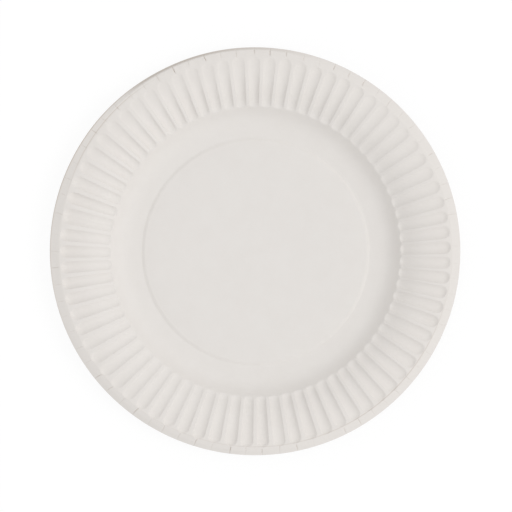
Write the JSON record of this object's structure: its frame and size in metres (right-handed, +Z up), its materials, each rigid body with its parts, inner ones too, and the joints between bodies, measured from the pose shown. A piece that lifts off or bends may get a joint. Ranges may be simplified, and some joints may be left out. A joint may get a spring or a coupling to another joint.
{
  "type": "paper plate",
  "caption": "Round white paperboard plate, pressed in one piece with a fluted flange and a rim turned down",
  "frame": {"origin": "centre of the plate, on the surface that its foot ring stands on", "axes": "+Z up out of the bowl, along the plate's own axis; +X and +Y lie in the table's plane, +Y to the far side of the picture"},
  "size_m": [0.23, 0.23, 0.0146],
  "materials": {
    "paperboard": "matt, uncoated"
  },
  "bodies": {
    "root": {"plate": "paperboard"}
  },
  "joints": []
}
